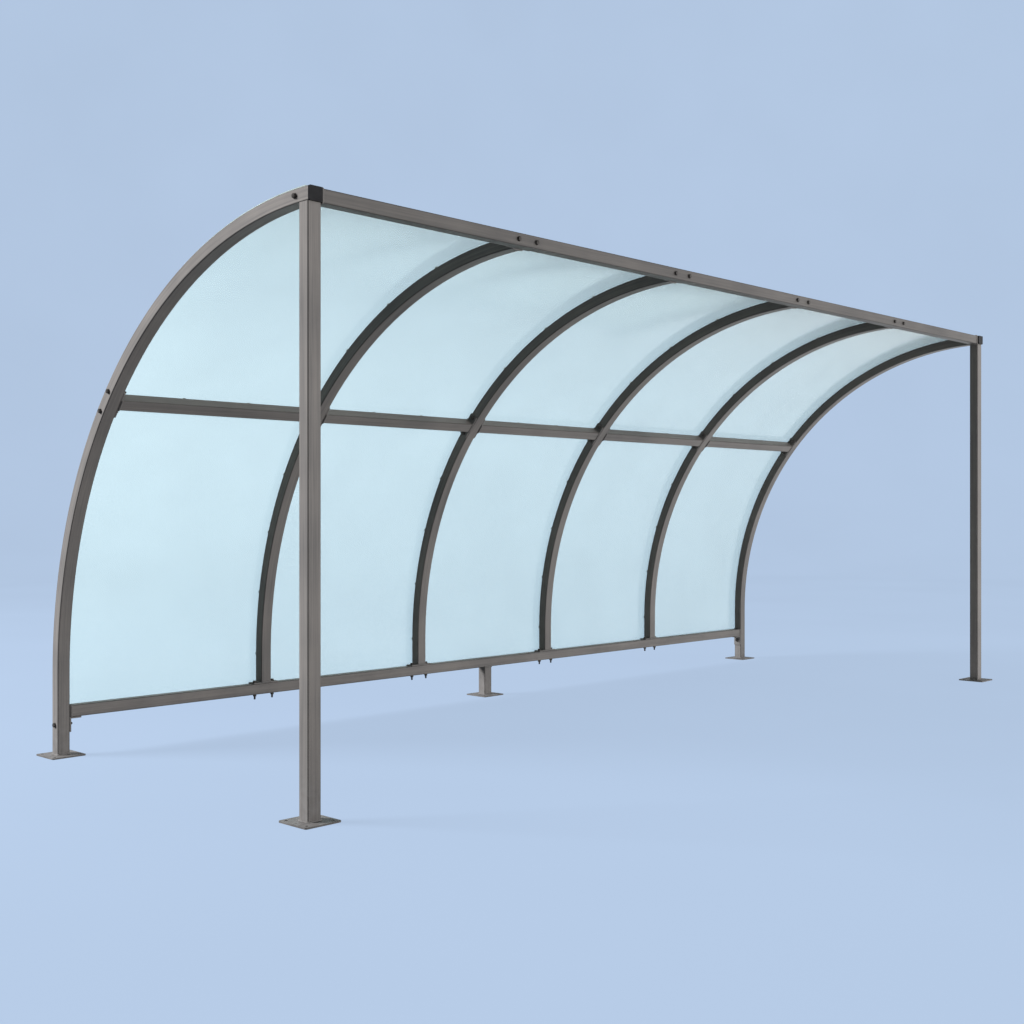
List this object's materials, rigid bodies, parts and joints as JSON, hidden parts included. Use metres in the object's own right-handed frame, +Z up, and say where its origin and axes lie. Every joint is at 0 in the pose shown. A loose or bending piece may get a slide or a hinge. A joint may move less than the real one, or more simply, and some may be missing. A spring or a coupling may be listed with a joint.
{
  "type": "bike shelter",
  "caption": "Open bike shelter: curved ribs of square steel tube with clear curved sheet for back and roof, on posts with base plates.",
  "frame": {"origin": "on the ground, under the middle of the shelter's footprint", "axes": "+X along the shelter, +Y from the open front to the curved back, +Z up"},
  "size_m": [5.205, 1.86, 2.1052],
  "materials": {
    "painted_frame": "satin",
    "clear_sheet": "gloss",
    "black_plastic": "satin"
  },
  "bodies": {
    "root": {"left_end_rib": "painted_frame", "right_end_rib": "painted_frame", "inner_rib_1": "painted_frame", "inner_rib_2": "painted_frame", "inner_rib_3": "painted_frame", "inner_rib_4": "painted_frame", "header_beam": "painted_frame", "bottom_rail": "painted_frame", "mid_rail_1": "painted_frame", "mid_rail_2": "painted_frame", "mid_rail_3": "painted_frame", "mid_rail_4": "painted_frame", "mid_rail_5": "painted_frame", "left_post": "painted_frame", "right_post": "painted_frame", "centre_foot": "painted_frame", "left_post_plate": "painted_frame", "right_post_plate": "painted_frame", "left_rib_plate": "painted_frame", "right_rib_plate": "painted_frame", "centre_foot_plate": "painted_frame", "rib_foot_plates": "painted_frame", "rib_head_plates": "painted_frame", "mid_rail_plates": "painted_frame", "bottom_rail_brackets": "painted_frame", "header_plates": "painted_frame", "lower_sheet_1": "clear_sheet", "lower_sheet_2": "clear_sheet", "lower_sheet_3": "clear_sheet", "lower_sheet_4": "clear_sheet", "lower_sheet_5": "clear_sheet", "upper_sheet_1": "clear_sheet", "upper_sheet_2": "clear_sheet", "upper_sheet_3": "clear_sheet", "upper_sheet_4": "clear_sheet", "upper_sheet_5": "clear_sheet", "left_rib_cap": "black_plastic", "right_rib_cap": "black_plastic"}
  },
  "joints": []
}
